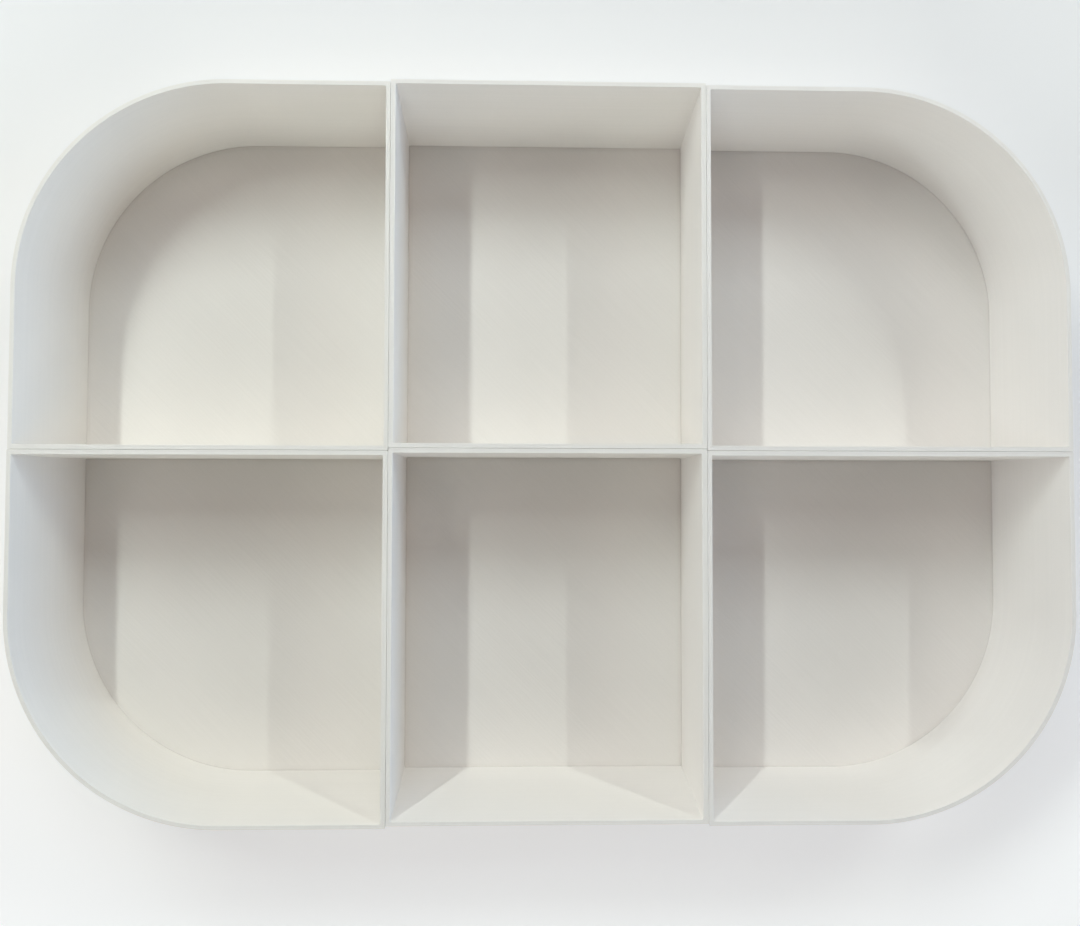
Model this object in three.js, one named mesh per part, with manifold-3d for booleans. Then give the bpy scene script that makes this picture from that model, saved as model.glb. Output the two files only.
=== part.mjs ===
// Drawer organizer insert: a set of six open bins that stand side by side and fill a shallow tray.
// Each bin is a separate thin-walled piece. The four corner bins follow the tray's round corners, and
// every wall that faces the tray leans out with it. The walls between two bins stand upright.
//
// Units are millimetres, +Z is up, +X is to the right and +Y is to the back. The origin is the middle
// of the set's outline, on the surface that the bins stand on.

import * as THREE from 'three';
import { mergeVertices } from 'three/addons/utils/BufferGeometryUtils.js';
import Module from 'manifold-3d';

const wasm = await Module();
wasm.setup();

// Driving dimensions.
const HEIGHT = 45; // from the surface to the rim
const WALL = 1.6; // wall thickness, measured level
const FLOOR = 1.6; // floor thickness
const CORNER_BIN_WIDTH = 134.8; // along X, at the rim
const MIDDLE_BIN_WIDTH = 114.9; // along X, at the rim
const BIN_LENGTH = 134.3; // along Y, at the rim
const TRAY_CORNER_RADIUS = 76; // outside of a corner bin's round corner, at the rim
const LEAN = 6.8; // how far a wall that faces the tray leans out from the surface to the rim
const SEAM_GAP = 0.3; // between two bins in an even grid

// Small roundings where two walls of a bin meet at a seam.
const OUTER_EDGE_RADIUS = 0.9;
const INNER_EDGE_RADIUS = 0.5;

// Facets in a quarter turn.
const WIDE_ARC_STEPS = 36;
const NARROW_ARC_STEPS = 3;

// How far the cavity's cutter stands out above the rim.
const CUTTER_RISE = 2;

// column and row say where a bin stands: -1 is left or front, 0 is the middle, 1 is right or back.
// nudge is how far the loose bin stands from its place in an even grid, along X and Y.
const BINS = [
  { name: 'back_left_bin', column: -1, row: 1, nudge: [0.1, -0.45] },
  { name: 'back_middle_bin', column: 0, row: 1, nudge: [0.1, 0.45] },
  { name: 'back_right_bin', column: 1, row: 1, nudge: [0.1, -0.2] },
  { name: 'front_left_bin', column: -1, row: -1, nudge: [-0.1, -0.45] },
  { name: 'front_middle_bin', column: 0, row: -1, nudge: [-0.1, 0.45] },
  { name: 'front_right_bin', column: 1, row: -1, nudge: [0.1, -0.2] },
];

function binWidth(bin) {
  return bin.column === 0 ? MIDDLE_BIN_WIDTH : CORNER_BIN_WIDTH;
}

// The bin's outline at the rim, moved in from its outer faces by inset. The corner that points away
// from the middle of the set on both axes is a tray corner, and the others are small roundings.
function rimOutline(bin, inset, edgeRadius) {
  const halfWidth = binWidth(bin) / 2 - inset;
  const halfLength = BIN_LENGTH / 2 - inset;
  const corners = [
    [1, 1],
    [-1, 1],
    [-1, -1],
    [1, -1],
  ];
  const points = [];
  corners.forEach(([sideX, sideY], quarter) => {
    const isTrayCorner = sideX === bin.column && sideY === bin.row;
    const radius = isTrayCorner ? TRAY_CORNER_RADIUS - inset : edgeRadius;
    const steps = isTrayCorner ? WIDE_ARC_STEPS : NARROW_ARC_STEPS;
    const centreX = sideX * (halfWidth - radius);
    const centreY = sideY * (halfLength - radius);
    for (let step = 0; step <= steps; step += 1) {
      const angle = (quarter + step / steps) * (Math.PI / 2);
      const x = centreX + radius * Math.cos(angle);
      const y = centreY + radius * Math.sin(angle);
      points.push(new THREE.Vector2(x, y));
    }
  });
  return new THREE.Shape(points);
}

// Scales the strip beyond a pivot line on the side that faces the tray, and leaves the rest alone.
function leanCoordinate(value, side, pivot, scale) {
  const beyond = side * value - pivot;
  return side !== 0 && beyond > 0 ? side * (pivot + beyond * scale) : value;
}

// Moves the walls that face the tray inwards, by the full lean at the surface and by nothing at the
// rim. The pivot lines cross at the centre of the tray corner, so the corner stays round.
function leanWalls(geometry, bin, inset) {
  const position = geometry.attributes.position;
  const pivotX = binWidth(bin) / 2 - TRAY_CORNER_RADIUS;
  const pivotY = BIN_LENGTH / 2 - TRAY_CORNER_RADIUS;
  const radius = TRAY_CORNER_RADIUS - inset;
  for (let i = 0; i < position.count; i += 1) {
    const leanHere = LEAN * (1 - position.getZ(i) / HEIGHT);
    const scale = (radius - leanHere) / radius;
    position.setX(i, leanCoordinate(position.getX(i), bin.column, pivotX, scale));
    position.setY(i, leanCoordinate(position.getY(i), bin.row, pivotY, scale));
  }
}

// A closed block of the bin's outline from one height to another, with leaning walls.
function block(bin, inset, edgeRadius, fromZ, toZ) {
  const shape = rimOutline(bin, inset, edgeRadius);
  const geometry = new THREE.ExtrudeGeometry(shape, { depth: toZ - fromZ, bevelEnabled: false });
  geometry.translate(0, 0, fromZ);
  leanWalls(geometry, bin, inset);
  return geometry;
}

function toManifold(geometry) {
  geometry.deleteAttribute('normal');
  geometry.deleteAttribute('uv');
  const merged = mergeVertices(geometry);
  const vertProperties = new Float32Array(merged.attributes.position.array);
  const triVerts = new Uint32Array(merged.index.array);
  return new wasm.Manifold(new wasm.Mesh({ numProp: 3, vertProperties, triVerts }));
}

function toGeometry(manifold) {
  const { vertProperties, triVerts } = manifold.getMesh();
  const geometry = new THREE.BufferGeometry();
  geometry.setAttribute('position', new THREE.BufferAttribute(vertProperties, 3));
  geometry.setIndex(new THREE.BufferAttribute(triVerts, 1));
  geometry.computeVertexNormals();
  return geometry;
}

// One bin: a block with a block-shaped cavity cut down to its floor.
function binGeometry(bin) {
  const body = block(bin, 0, OUTER_EDGE_RADIUS, 0, HEIGHT);
  const cavity = block(bin, WALL, INNER_EDGE_RADIUS, FLOOR, HEIGHT + CUTTER_RISE);
  return toGeometry(toManifold(body).subtract(toManifold(cavity)));
}

function binMaterial() {
  return new THREE.MeshStandardMaterial({ color: '#e4e1d6', roughness: 0.55, metalness: 0 });
}

const insert = new THREE.Group();
const columnPitch = MIDDLE_BIN_WIDTH / 2 + SEAM_GAP + CORNER_BIN_WIDTH / 2;
const rowPitch = (BIN_LENGTH + SEAM_GAP) / 2;

for (const bin of BINS) {
  const mesh = new THREE.Mesh(binGeometry(bin), binMaterial());
  mesh.name = bin.name;
  mesh.position.x = bin.column * columnPitch + bin.nudge[0];
  mesh.position.y = bin.row * rowPitch + bin.nudge[1];
  insert.add(mesh);
}

export default insert;
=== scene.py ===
"""Drawer organizer insert: six loose open bins, printed in off-white plastic, seen from above.

The CAD bins give each bin's place and size. This script builds the finished bins in those places,
with rounded printed edges, a rim of four printed lines, and a crease where each floor meets its walls.
Lengths are in metres.
"""

import math
import random

import bpy
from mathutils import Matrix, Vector


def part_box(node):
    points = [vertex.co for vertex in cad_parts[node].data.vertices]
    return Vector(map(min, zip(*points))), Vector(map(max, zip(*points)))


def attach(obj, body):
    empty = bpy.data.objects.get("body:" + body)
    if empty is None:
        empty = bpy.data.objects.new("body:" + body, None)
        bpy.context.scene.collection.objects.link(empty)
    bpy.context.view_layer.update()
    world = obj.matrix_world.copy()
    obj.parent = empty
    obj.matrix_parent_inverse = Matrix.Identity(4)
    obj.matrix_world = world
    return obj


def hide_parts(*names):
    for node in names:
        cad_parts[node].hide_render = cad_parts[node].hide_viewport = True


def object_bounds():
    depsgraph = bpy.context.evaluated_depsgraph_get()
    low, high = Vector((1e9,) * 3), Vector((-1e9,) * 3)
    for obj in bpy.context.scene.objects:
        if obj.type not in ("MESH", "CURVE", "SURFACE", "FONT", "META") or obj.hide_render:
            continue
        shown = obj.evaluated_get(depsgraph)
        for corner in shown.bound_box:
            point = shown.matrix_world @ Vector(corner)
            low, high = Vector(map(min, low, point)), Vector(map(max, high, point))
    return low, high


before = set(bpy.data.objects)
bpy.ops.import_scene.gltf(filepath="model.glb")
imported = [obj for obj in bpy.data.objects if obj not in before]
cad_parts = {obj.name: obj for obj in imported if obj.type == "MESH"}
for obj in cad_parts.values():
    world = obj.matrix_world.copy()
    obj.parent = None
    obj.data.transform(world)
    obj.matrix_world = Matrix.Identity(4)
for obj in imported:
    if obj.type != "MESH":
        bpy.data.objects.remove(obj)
cad_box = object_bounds()

MM = 0.001

# The bins' shape, as in the CAD model.
WALL = 1.6 * MM
FLOOR = 1.6 * MM
HEIGHT = cad_box[1].z
CORNER_RADIUS = 76 * MM
LEAN = 6.8 * MM
INNER_EDGE_RADIUS = 0.5 * MM

# Fine shape that only the finished bins have.
SEAM_EDGE_RADIUS = 0.35 * MM
BEAD = WALL / 4  # one printed line: a wall is four of them
BEAD_GROOVE = 0.03 * MM
MIDDLE_GROOVE = 0.08 * MM
RIM_ROUND = 0.12 * MM
FOOT_ROUND = 0.4 * MM
CREASE_WIDTH = 0.35 * MM
CREASE_DEPTH = 0.08 * MM
FLOOR_BORDER = 3.4 * MM  # inside this line the floor is filled with slanting lines
RING_STEP = 1.8 * MM
RING_WANDER = 0.008 * MM
HAIRLINE = 0.09 * MM  # what is left of the gap at a seam, as the real bins touch there
LAYER_HEIGHT = 0.2 * MM
FLOOR_LINE = 0.45 * MM  # from one printed line of a floor to the next

# Points along a bin's outline and round its edges, and rings between an outline and its middle.
WIDE_ARC_STEPS = 64
NARROW_ARC_STEPS = 5
STRAIGHT_STEPS = 12
EDGE_STEPS = 3
FILL_SHARES = (0.8, 0.6, 0.4, 0.2)
SHARP_ANGLE = math.radians(60)
WANDER_SEED = 7

CORNERS = ((1, 1), (-1, 1), (-1, -1), (1, -1))  # anticlockwise, from the back right


# ---------------------------------------------------------------- the bins' shape

COLUMNS = {-1: "left", 0: "middle", 1: "right"}
ROWS = {-1: "front", 1: "back"}

# The side walls, by column, row and side, that close the gaps between the columns. The back left and
# front middle bins reach past each other at their corner, so their walls there stay as they are.
CLOSING_WALLS = ((0, 1, -1), (0, 1, 1), (-1, -1, 1), (0, -1, 1))


def node_at(column, row):
    return f"{ROWS[row]}_{COLUMNS[column]}_bin"


class Bin:
    """Where one bin stands. Its column and row also say which of its walls are on the set's outside."""

    def __init__(self, column, row):
        self.node = node_at(column, row)
        self.cell = (column, row)
        low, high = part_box(self.node)
        self.centre = (low + high) / 2
        self.half = (high - low) / 2
        self.swell = {(axis, side): self.seam_swell(axis, side) for axis in (0, 1) for side in (-1, 1)}

    def seam_swell(self, axis, side):
        """How much fatter a wall is than in the CAD, so that only a hairline is left of the seam."""
        if side == self.cell[axis]:
            return 0.0
        column, row = self.cell
        neighbour = (column + side, row) if axis == 0 else (column, -row)
        low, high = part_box(node_at(*neighbour))
        near_face = low[axis] if side > 0 else high[axis]
        gap = side * (near_face - self.centre[axis]) - self.half[axis]
        if axis == 1:
            return (gap - HAIRLINE) / 2  # the two rows meet halfway
        if (column, row, side) in CLOSING_WALLS:
            return gap - HAIRLINE
        return 0.0


def reach(one, axis, side, inset):
    """How far a wall stands from the middle of its bin at the rim."""
    share = min(inset / WALL, 1)
    return one.half[axis] - inset + one.swell[axis, side] * (1 - share)


def corner_arc(one, quarter, inset):
    """The quarter turn of points round one corner of a bin, inset from its outer faces."""
    sides = CORNERS[quarter]
    share = min(inset / WALL, 1)
    if sides == one.cell:
        radius = CORNER_RADIUS - inset
        steps = WIDE_ARC_STEPS
    else:
        radius = SEAM_EDGE_RADIUS + (INNER_EDGE_RADIUS - SEAM_EDGE_RADIUS) * share
        steps = NARROW_ARC_STEPS
    places = [side * (reach(one, axis, side, inset) - radius) for axis, side in enumerate(sides)]
    centre = Vector(places)
    angles = [(quarter + step / steps) * math.pi / 2 for step in range(steps + 1)]
    return [centre + radius * Vector((math.cos(a), math.sin(a))) for a in angles]


def outline(one, inset):
    """The closed line round a bin at the rim. It has the same number of points at every inset."""
    arcs = [corner_arc(one, quarter, inset) for quarter in range(len(CORNERS))]
    points = []
    for arc, following in zip(arcs, arcs[1:] + arcs[:1]):
        run = following[0] - arc[-1]
        points += arc
        points += [arc[-1] + run * step / STRAIGHT_STEPS for step in range(1, STRAIGHT_STEPS)]
    return points


def leaned(one, point, inset, z):
    """A rim point moved in to where its wall stands at height z."""
    radius = CORNER_RADIUS - inset
    scale = (radius - LEAN * (1 - z / HEIGHT)) / radius
    moved = []
    for axis in (0, 1):
        side = one.cell[axis]
        pivot = one.half[axis] - CORNER_RADIUS
        beyond = side * point[axis] - pivot
        moved.append(side * (pivot + beyond * scale) if side and beyond > 0 else point[axis])
    return moved


def ring(one, inset, z, share=1.0):
    """One closed ring of a bin. share below 1 draws it in towards the bin's middle."""
    points = [leaned(one, p, inset, z) for p in outline(one, inset)]
    return [(one.centre.x + x * share, one.centre.y + y * share, z) for x, y in points]


def wall_heights(low, high):
    count = round((high - low) / RING_STEP)
    return [low + (high - low) * step / count for step in range(count + 1)]


def quarter_turn():
    """The angles of the points round a rounded edge."""
    return [step / EDGE_STEPS * math.pi / 2 for step in range(EDGE_STEPS + 1)]


def rim_profile():
    """Across the rim from the outside in: four printed lines with a groove between each two."""
    grooves = {1: BEAD_GROOVE, 2: MIDDLE_GROOVE, 3: BEAD_GROOVE}
    groove_shape = ((-0.25, 0.25), (0, 1), (0.25, 0.25), (0.5, 0))  # across, in lines, and share of depth
    profile = []
    for angle in quarter_turn():
        inset = RIM_ROUND * (1 - math.cos(angle))
        profile.append((inset, HEIGHT - RIM_ROUND * (1 - math.sin(angle))))
    profile.append((BEAD / 2, HEIGHT))
    for line, depth in grooves.items():
        for across, fall in groove_shape:
            profile.append(((line + across) * BEAD, HEIGHT - depth * fall))
    for angle in quarter_turn():
        inset = WALL - RIM_ROUND * (1 - math.sin(angle))
        profile.append((inset, HEIGHT - RIM_ROUND * (1 - math.cos(angle))))
    return profile


def bin_profile(wander):
    """Rings of (inset, height) from the edge of the underside, up, over the rim and down to the floor."""
    profile = [(3 * FOOT_ROUND, 0)]
    for angle in quarter_turn():
        profile.append((FOOT_ROUND * (1 - math.sin(angle)), FOOT_ROUND * (1 - math.cos(angle))))
    below_rim = HEIGHT - 2 * BEAD
    heights = wall_heights(2 * FOOT_ROUND, below_rim)
    profile += [(wander.random() * RING_WANDER, z) for z in heights]
    profile += rim_profile()
    heights = wall_heights(FLOOR + 2 * BEAD, below_rim)
    profile += [(WALL + wander.random() * RING_WANDER, z) for z in reversed(heights)]
    profile.append((WALL, FLOOR - CREASE_DEPTH))
    profile.append((WALL + CREASE_WIDTH / 3, FLOOR - CREASE_DEPTH))
    profile.append((WALL + CREASE_WIDTH, FLOOR))
    profile.append((FLOOR_BORDER, FLOOR))
    return profile


def bin_mesh(one, wander):
    """The closed mesh of one bin: rings from the middle of its underside round to that of its floor."""
    profile = bin_profile(wander)
    first_inset, first_z = profile[0]
    last_inset, last_z = profile[-1]
    rings = [ring(one, first_inset, first_z, share) for share in reversed(FILL_SHARES)]
    rings += [ring(one, inset, z) for inset, z in profile]
    rings += [ring(one, last_inset, last_z, share) for share in FILL_SHARES]
    count = len(rings[0])
    vertices = [point for points in rings for point in points]
    underside, floor = len(vertices), len(vertices) + 1
    vertices.append((one.centre.x, one.centre.y, first_z))
    vertices.append((one.centre.x, one.centre.y, last_z))
    faces = []
    for i in range(count):
        j = (i + 1) % count
        faces.append((underside, j, i))
        for level in range(len(rings) - 1):
            below, above = level * count, (level + 1) * count
            faces.append((below + i, below + j, above + j, above + i))
        top = (len(rings) - 1) * count
        faces.append((top + i, top + j, floor))
    mesh = bpy.data.meshes.new(one.node)
    mesh.from_pydata(vertices, [], faces)
    mesh.shade_smooth()
    mesh.set_sharp_from_angle(angle=SHARP_ANGLE)
    insets = [first_inset] * len(FILL_SHARES) + [inset for inset, z in profile]
    insets += [last_inset + one.half.x * (1 - share) for share in FILL_SHARES]
    values = [inset / MM for inset in insets for _ in range(count)]
    values += [first_inset / MM, one.half.x / MM]
    mesh.attributes.new("inset_mm", "FLOAT", "POINT").data.foreach_set("value", values)
    return mesh


# ---------------------------------------------------------------- materials

# The plastic's lightest and darkest colour, and the darkest colour of the crease's painted shade and
# dust, as shares of a bin's own tone.
LIGHTEST = 1.012
DARKEST = 0.975
DUST_AND_SHADE_DARKEST = 0.72

# The plastic's roughness where the bands are lowest, how much rougher they make it, and its gloss.
SMOOTHEST = 0.42
ROUGHNESS_RANGE = 0.16
PLASTIC_IOR = 1.46

# How fine each pattern is, per mm. Bands and streaks are drawn out along the printed lines.
BAND_SCALE = 0.9
BAND_STRETCH = 0.01
STREAK_SCALE = 1.3
STREAK_STRETCH = 0.02
GRAIN_SCALE = 1.3
MOTTLE_SCALE = 0.03

# How much the bands, the grain and the mottle show in the colour, and the sums that give its ends.
BAND_TINT = 0.45
GRAIN_TINT = 0.25
MOTTLE_TINT = 0.5
TINT_ENDS = (0.35, 0.85)

# How much the printed lines, the grain and the bands stand out, in mm.
LINE_RELIEF = 0.0015
GRAIN_RELIEF = 0.01
BAND_RELIEF = 0.035

# A face counts as level as the upright part of its normal goes from the first value to the second.
LEVEL_ENDS = (0.6, 0.95)

# The crease's painted shade and dust start and fade at these distances from the wall's face, in mm, and
# lie this far up.
DUST_AND_SHADE = 0.3
DUST_AND_SHADE_START = (-0.02, 0.04)
DUST_AND_SHADE_FADE = (0.12, 0.38)
DUST_AND_SHADE_RISE = 0.3


def shade(tone, share):
    return [channel * share for channel in tone] + [1]


class Nodes:
    """Short calls for building a node tree."""

    def __init__(self, tree):
        self.tree = tree

    def add(self, kind, inputs=None, **settings):
        node = self.tree.nodes.new(kind)
        for key, value in settings.items():
            setattr(node, key, value)
        for key, value in (inputs or {}).items():
            if isinstance(value, bpy.types.NodeSocket):
                self.tree.links.new(value, node.inputs[key])
            else:
                node.inputs[key].default_value = value
        return node

    def math(self, operation, a, b=0.0, c=0.0):
        return self.add("ShaderNodeMath", {0: a, 1: b, 2: c}, operation=operation).outputs[0]

    def noise(self, vector, scale, detail):
        node = self.add("ShaderNodeTexNoise", {"Vector": vector, "Scale": scale, "Detail": detail})
        return node.outputs["Fac"]

    def ramp(self, value, low, high):
        """Goes smoothly from 0 to 1 as value goes from low to high."""
        inputs = {"Value": value, "From Min": low, "From Max": high}
        node = self.add("ShaderNodeMapRange", inputs, interpolation_type="SMOOTHSTEP")
        return node.outputs["Result"]

    def blend(self, factor, a, b):
        inputs = {"Factor": factor, "A": a, "B": b}
        return self.add("ShaderNodeMix", inputs, data_type="FLOAT").outputs["Result"]

    def blend_colours(self, factor, a, b):
        inputs = {"Factor": factor, "A": a, "B": b}
        return self.add("ShaderNodeMix", inputs, data_type="RGBA").outputs["Result"]

    def vector(self, x, y, z):
        return self.add("ShaderNodeCombineXYZ", {"X": x, "Y": y, "Z": z}).outputs[0]


def printed_plastic(name, tone):
    """Off-white printed plastic: level layer lines on the walls, slanting lines on the floors."""
    material = bpy.data.materials.new(name)
    material.use_nodes = True
    material.node_tree.nodes.clear()
    n = Nodes(material.node_tree)

    place = n.add("ShaderNodeTexCoord")
    per_mm = (1 / MM, 1 / MM, 1 / MM)
    in_mm = n.add("ShaderNodeVectorMath", {0: place.outputs["Object"], 1: per_mm}, operation="MULTIPLY")
    position = in_mm.outputs[0]
    split = n.add("ShaderNodeSeparateXYZ", {0: position})
    x, y, z = split.outputs[0], split.outputs[1], split.outputs[2]
    slope = n.add("ShaderNodeSeparateXYZ", {0: place.outputs["Normal"]})
    level = n.ramp(n.math("ABSOLUTE", slope.outputs[2]), *LEVEL_ENDS)
    inset = n.add("ShaderNodeAttribute", attribute_name="inset_mm").outputs["Fac"]

    # Walls: a line for every layer, and faint bands where some layers are a little wider.
    layers = n.math("SINE", n.math("MULTIPLY", z, 2 * math.pi * MM / LAYER_HEIGHT))
    long_x = n.math("MULTIPLY", x, BAND_STRETCH)
    long_y = n.math("MULTIPLY", y, BAND_STRETCH)
    bands = n.noise(n.vector(long_x, long_y, z), BAND_SCALE, 3)

    # Floors: slanting printed lines inside a border of lines that follow the walls.
    slant = math.sqrt(0.5)
    along = n.math("MULTIPLY", n.math("ADD", x, y), slant)
    across = n.math("MULTIPLY", n.math("SUBTRACT", x, y), slant)
    inside = n.math("GREATER_THAN", inset, FLOOR_BORDER / MM)
    run = n.blend(inside, inset, along)
    lines = n.math("SINE", n.math("MULTIPLY", run, 2 * math.pi * MM / FLOOR_LINE))
    long_across = n.math("MULTIPLY", across, STREAK_STRETCH)
    streaks = n.noise(n.vector(run, long_across, 0.0), STREAK_SCALE, 2)

    grain = n.noise(position, GRAIN_SCALE, 3)
    mottle = n.noise(position, MOTTLE_SCALE, 2)

    print_lines = n.blend(level, layers, lines)
    print_bands = n.blend(level, bands, streaks)
    tint = n.math("MULTIPLY_ADD", print_bands, BAND_TINT, n.math("MULTIPLY", grain, GRAIN_TINT))
    tint = n.math("MULTIPLY_ADD", mottle, MOTTLE_TINT, tint)
    tint = n.ramp(tint, *TINT_ENDS)

    # The crease round the floor is painted darker: painted shade where the floor meets its walls, with a
    # little dust.
    from_face = n.math("SUBTRACT", inset, WALL / MM)
    near_wall = n.math("SUBTRACT", 1.0, n.ramp(from_face, *DUST_AND_SHADE_FADE))
    past_wall = n.ramp(from_face, *DUST_AND_SHADE_START)
    low_down = n.math("LESS_THAN", z, FLOOR / MM + DUST_AND_SHADE_RISE)
    dust_and_shade = n.math("MULTIPLY", n.math("MULTIPLY", near_wall, past_wall), low_down)

    plain = n.blend_colours(tint, shade(tone, DARKEST), shade(tone, LIGHTEST))
    # Painted shade and dust: the colour darkens towards the crease.
    colour = n.blend_colours(n.math("MULTIPLY", dust_and_shade, DUST_AND_SHADE), plain, shade(tone, DUST_AND_SHADE_DARKEST))
    roughness = n.math("MULTIPLY_ADD", print_bands, ROUGHNESS_RANGE, SMOOTHEST)

    height = n.math("MULTIPLY_ADD", print_lines, LINE_RELIEF, n.math("MULTIPLY", grain, GRAIN_RELIEF))
    height = n.math("MULTIPLY_ADD", print_bands, BAND_RELIEF, height)
    bump = n.add("ShaderNodeBump", {"Strength": 1.0, "Distance": MM, "Height": height})

    inputs = {"Base Color": colour, "Roughness": roughness, "Normal": bump.outputs[0]}
    shader = n.add("ShaderNodeBsdfPrincipled", inputs)
    shader.inputs["IOR"].default_value = PLASTIC_IOR
    n.add("ShaderNodeOutputMaterial", {"Surface": shader.outputs[0]})
    return material


# The stage round the bins takes the lamps' light. As most of that comes from behind, the bins' shadow
# falls on the front half, so that half glows a little: painted light that lifts the shadow there. Farther
# out the stage only glows, evenly, so that no lamp shows as a bright patch on it, and the glow fades with
# height.
# Each pair of places below is where a change starts and ends.
TABLE_COLOUR = (0.91, 0.88, 0.875, 1)
BLACK = (0, 0, 0, 1)
WHITE = (1, 1, 1, 1)
FRONT_FILL_GLOW = 0.26
FLOOR_GLOW = 0.76
LOW_GLOW = 0.5
HIGH_GLOW = 0.28
TABLE_EDGE = (0.35, 1.1)  # distance from the bins' middle
FRONT_FILL_EDGE = (-0.25, 0.15)  # along y
LOW_RISE = (0.0, 0.7)  # height
HIGH_RISE = (0.6, 2.6)  # height


def stage_material():
    """Matt and pale round the bins, with a painted glow over the front half near them, and an even pale
    glow farther out.
    """
    material = bpy.data.materials.new("stage")
    material.use_nodes = True
    n = Nodes(material.node_tree)
    place = n.add("ShaderNodeTexCoord").outputs["Object"]
    distance = n.add("ShaderNodeVectorMath", {0: place}, operation="LENGTH").outputs["Value"]
    split = n.add("ShaderNodeSeparateXYZ", {0: place})
    back, rise = split.outputs["Y"], split.outputs["Z"]
    far = n.ramp(distance, *TABLE_EDGE)
    low = n.blend(n.ramp(rise, *LOW_RISE), FLOOR_GLOW, LOW_GLOW)
    backdrop = n.blend(n.ramp(rise, *HIGH_RISE), low, HIGH_GLOW)
    # Painted light: the front half near the bins glows, lifting the bins' shadow there.
    front_fill = n.blend(n.ramp(back, *FRONT_FILL_EDGE), FRONT_FILL_GLOW, 0.0)
    glow = n.blend(far, front_fill, backdrop)
    colour = n.blend_colours(far, TABLE_COLOUR, BLACK)
    shader = material.node_tree.nodes["Principled BSDF"]
    shader.inputs["Roughness"].default_value = 0.9
    shader.inputs["Specular IOR Level"].default_value = 0.0
    shader.inputs["Emission Color"].default_value = WHITE
    n.tree.links.new(colour, shader.inputs["Base Color"])
    n.tree.links.new(glow, shader.inputs["Emission Strength"])
    return material


# ---------------------------------------------------------------- pieces

# The plastic's colour in the middle column, and how much bluer it gets from each column to the next.
PLASTIC_RED = 0.88
PLASTIC_GREEN = 0.835
PLASTIC_BLUE = 0.795
BLUE_STEP = 0.007


def add_bin(one, wander):
    column, row = one.cell
    tone = (PLASTIC_RED, PLASTIC_GREEN, PLASTIC_BLUE + BLUE_STEP * column)
    piece = bpy.data.objects.new(one.node + "_finished", bin_mesh(one, wander))
    bpy.context.scene.collection.objects.link(piece)
    piece.data.materials.append(printed_plastic(one.node + "_plastic", tone))
    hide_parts(one.node)
    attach(piece, one.node.removesuffix("_bin"))


def add_bins():
    wander = random.Random(WANDER_SEED)
    for row in reversed(ROWS):
        for column in COLUMNS:
            add_bin(Bin(column, row), wander)


def add_stage():
    """A pale floor that curves up into a wall all round, far from the bins."""
    radius = 5.0
    bend = 1.5
    wall_top = 4.0
    middle = 0.02
    sides = 96
    bend_steps = 12
    profile = [(middle, 0.0), (radius - bend, 0.0)]
    for step in range(1, bend_steps + 1):
        angle = step / bend_steps * math.pi / 2
        profile.append((radius - bend * (1 - math.sin(angle)), bend * (1 - math.cos(angle))))
    profile.append((radius, wall_top))
    vertices = []
    for r, z in profile:
        for side in range(sides):
            angle = side / sides * 2 * math.pi
            vertices.append((r * math.cos(angle), r * math.sin(angle), z))
    faces = [tuple(range(sides))]
    for level in range(len(profile) - 1):
        for i in range(sides):
            j = (i + 1) % sides
            below, above = level * sides, (level + 1) * sides
            faces.append((below + i, above + i, above + j, below + j))
    mesh = bpy.data.meshes.new("stage")
    mesh.from_pydata(vertices, [], faces)
    mesh.shade_smooth()
    mesh.materials.append(stage_material())
    stage = bpy.data.objects.new("stage", mesh)
    bpy.context.scene.collection.objects.link(stage)


# ---------------------------------------------------------------- light and camera

DAYLIGHT = (0.9, 1, 0.95)
SKY = (0.3, 0.6, 1)
COOL = (0.85, 0.95, 1)
WARM = (1, 0.9, 0.85)
FAR = 4.0
NEAR = 1.3
BROAD = (1.8, 1.3)
SMALL = (0.6, 0.4)
SLIM = (1.0, 0.12)
STRIP_WIDTH = 0.06
FILL = 14.0  # the power of a plain fill panel, in watts. Each lamp's power is a share of it.
WORLD_LIGHT = 0.01

# The camera looks almost straight down. Its turns are about x, y and z, in degrees, and the one about
# y comes first. The lens and the sensor's width are in millimetres.
CAMERA_LENS = 31
CAMERA_SENSOR = 36
CAMERA_PLACE = (-0.012, -0.016, 0.38)
CAMERA_TURNS = (1.9, -1.55, 0.17)

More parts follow.
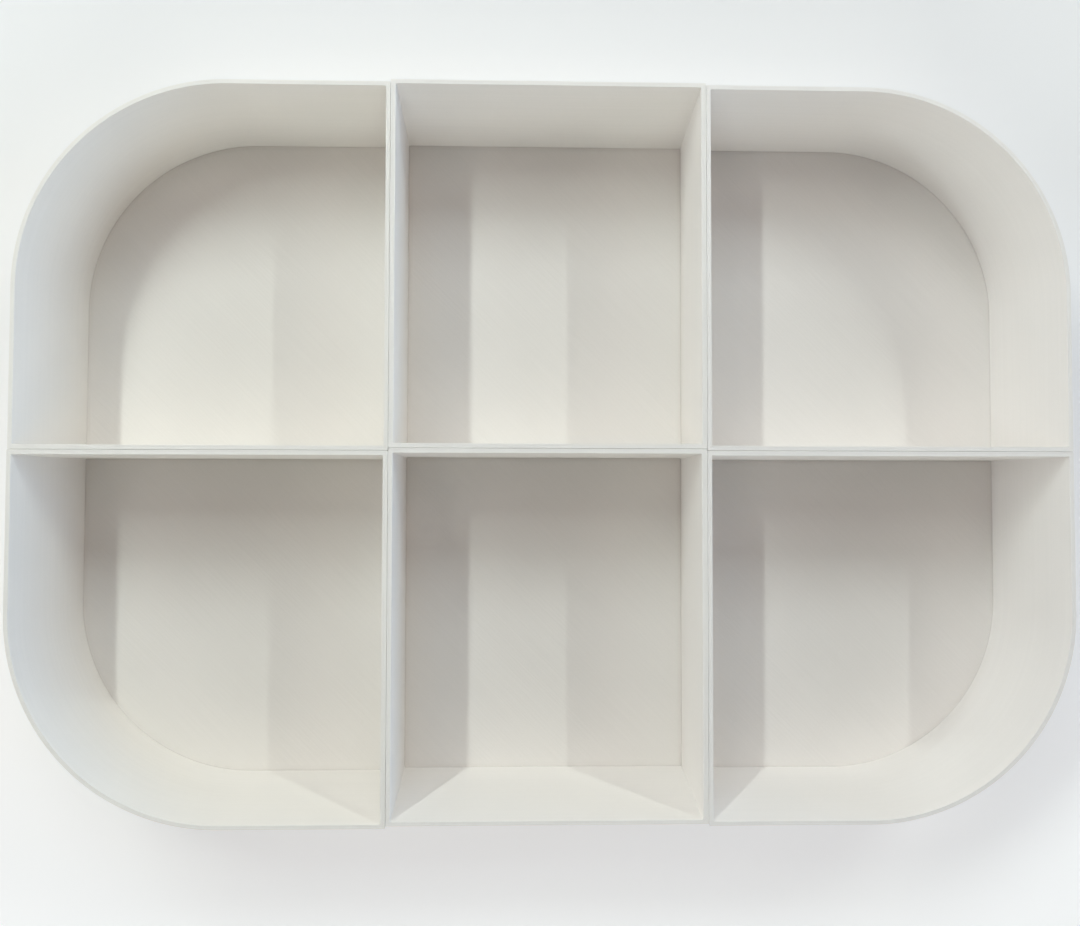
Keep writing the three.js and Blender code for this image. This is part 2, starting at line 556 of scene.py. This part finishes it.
# Soft panels that face the bins: azimuth from +X towards +Y, elevation, distance, size, share of FILL
# and colour.
PANELS = {
    "right_window": (0, 12, FAR, BROAD, 3, SKY),
    "left_slot": (180, 20, FAR, SLIM, 1.2, COOL),
    "left_panel": (180, 20, FAR, BROAD, 1, DAYLIGHT),
    "front_panel": (270, 20, FAR, BROAD, 2.5, DAYLIGHT),
    "front_right_panel": (315, 20, FAR, BROAD, 0.6, WARM),
    "high_left_panel": (180, 60, FAR, BROAD, 0.8, WARM),
    "high_back_right_panel": (45, 60, FAR, BROAD, 1, WARM),
    "back_panel": (95, 42, NEAR, SMALL, 0.25, COOL),
}

# Narrow strips along Y that face straight down and draw the straight shadows on the floors:
# x, z, where along y the strip starts and ends, and share of FILL.
STRIPS = {
    "left_strip": (-0.68, 1.1, 0.5, 1.5, 0.8),
    "right_strip": (1.3, 1.2, 1.0, 2.0, 1.2),
}


def add_light(name, place, size, power, colour):
    lamp = bpy.data.lights.new(name, "AREA")
    lamp.shape = "RECTANGLE"
    lamp.size, lamp.size_y = size
    lamp.energy = power
    lamp.color = colour
    light = bpy.data.objects.new(name, lamp)
    light.location = place
    light.visible_camera = False
    bpy.context.scene.collection.objects.link(light)
    return light


def add_lights():
    for name, (azimuth, elevation, distance, size, share, colour) in PANELS.items():
        turn, rise = math.radians(azimuth), math.radians(elevation)
        way = Vector((math.cos(rise) * math.cos(turn), math.cos(rise) * math.sin(turn), math.sin(rise)))
        panel = add_light(name, distance * way, size, share * FILL, colour)
        panel.rotation_euler = way.to_track_quat("Z", "Y").to_euler()
    for name, (x, z, y_start, y_end, share) in STRIPS.items():
        place = (x, (y_start + y_end) / 2, z)
        add_light(name, place, (STRIP_WIDTH, y_end - y_start), share * FILL, DAYLIGHT)
    world = bpy.data.worlds.new("world")
    world.use_nodes = True
    background = world.node_tree.nodes["Background"]
    background.inputs["Color"].default_value = WHITE
    background.inputs["Strength"].default_value = WORLD_LIGHT
    bpy.context.scene.world = world


def add_camera():
    camera = bpy.data.objects.new("camera", bpy.data.cameras.new("camera"))
    camera.data.sensor_width = CAMERA_SENSOR
    camera.data.lens = CAMERA_LENS
    camera.location = CAMERA_PLACE
    camera.rotation_mode = "YXZ"
    camera.rotation_euler = [math.radians(turn) for turn in CAMERA_TURNS]
    bpy.context.scene.collection.objects.link(camera)
    bpy.context.scene.camera = camera


add_bins()
add_stage()
add_lights()
add_camera()
bpy.context.scene.view_settings.view_transform = "Standard"
